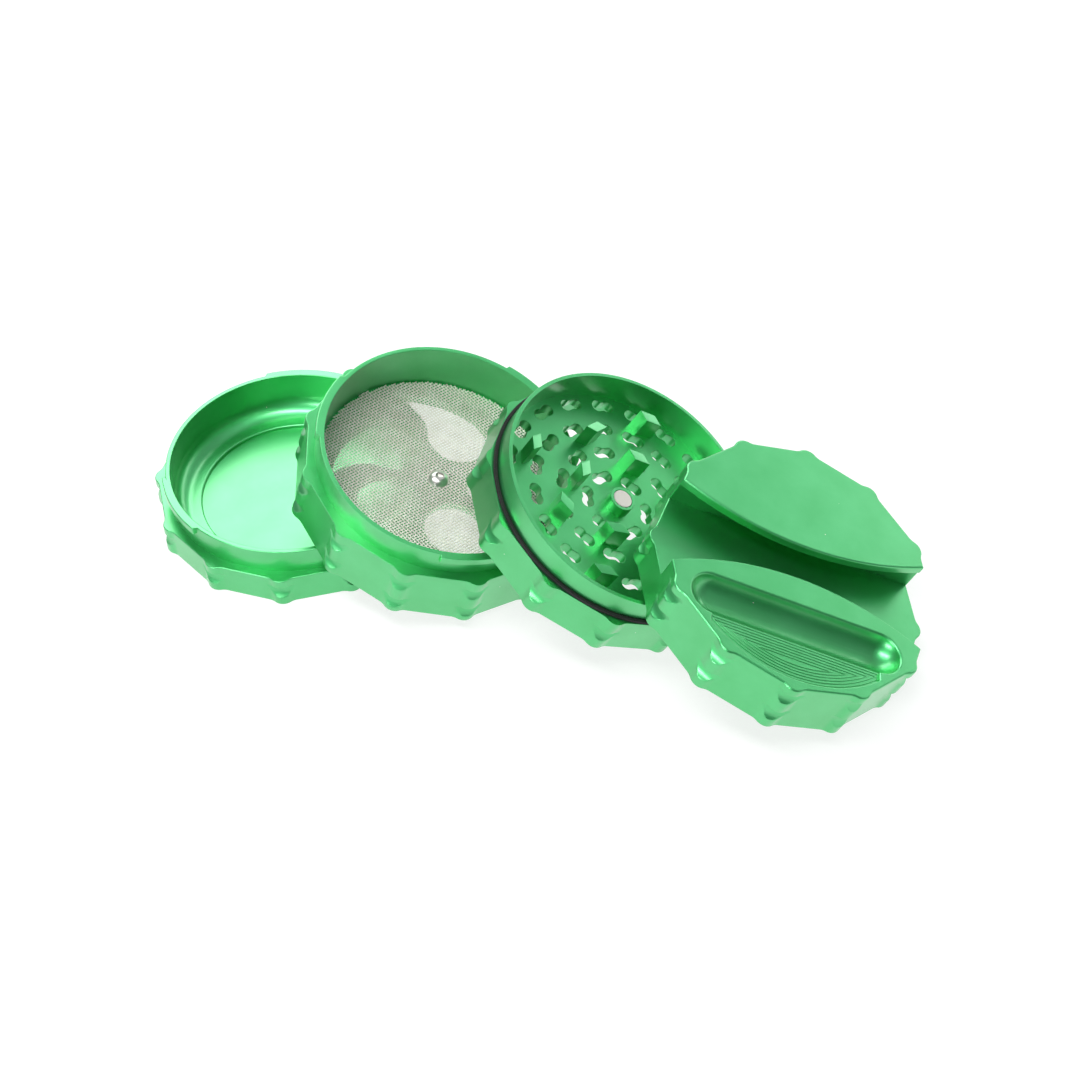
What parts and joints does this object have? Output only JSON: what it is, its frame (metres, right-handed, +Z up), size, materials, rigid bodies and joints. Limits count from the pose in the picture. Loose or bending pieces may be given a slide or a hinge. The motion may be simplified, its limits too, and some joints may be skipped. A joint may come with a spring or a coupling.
{
  "type": "herb grinder",
  "caption": "Hand-held herb grinder, opened and fanned out: lid with a ledge and a trough, toothed plate with holes, screen chamber and catch tray, all with lobed grip sides.",
  "frame": {"origin": "middle of the catch tray's underside, which rests on the table", "axes": "+Z up; +X along the fan, from the catch tray towards the lid"},
  "size_m": [0.2021, 0.0797, 0.0493],
  "materials": {
    "green_anodised": "satin, bead-blasted and anodised green",
    "screen_wire": "woven stainless wire",
    "screw_steel": "polished stainless steel",
    "magnet_nickel": "bright nickel plate",
    "ring_rubber": "matt black"
  },
  "bodies": {
    "tray": {"catch_tray": "green_anodised"},
    "chamber_axis": {"screen_screw": "screw_steel"},
    "chamber": {"screen_chamber": "green_anodised", "screen_mesh": "screen_wire"},
    "plate_axis": {"plate_magnet": "magnet_nickel"},
    "plate": {"grinding_plate": "green_anodised", "friction_ring": "ring_rubber"},
    "lid_axis": {"lid_magnet": "magnet_nickel"},
    "lid": {"lid": "green_anodised"}
  },
  "joints": [
    {"name": "chamber_lift", "type": "slide", "parent": "tray", "child": "chamber_axis", "axis": [0.2939, -0.0092, 0.9558], "range_m": [0, 0.06]},
    {"name": "chamber_turn", "type": "hinge", "parent": "chamber_axis", "child": "chamber", "pos_m": [0.0371, 0.0015, 0.01058], "axis": [0.2939, -0.0092, 0.9558], "range_deg": [0, 60]},
    {"name": "plate_lift", "type": "slide", "parent": "chamber_axis", "child": "plate_axis", "axis": [0.4851, 0.0544, 0.8728], "range_m": [0, 0.06]},
    {"name": "plate_turn", "type": "hinge", "parent": "plate_axis", "child": "plate", "pos_m": [0.0821, 0.0014, 0.01757], "axis": [0.4851, 0.0544, 0.8728], "range_deg": [0, 60]},
    {"name": "lid_lift", "type": "slide", "parent": "plate_axis", "child": "lid_axis", "axis": [0.4194, 0.077, 0.9045], "range_m": [0, 0.06]},
    {"name": "lid_turn", "type": "hinge", "parent": "lid_axis", "child": "lid", "pos_m": [0.1285, -0.0075, 0.01535], "axis": [0.4194, 0.077, 0.9045], "continuous": true}
  ]
}
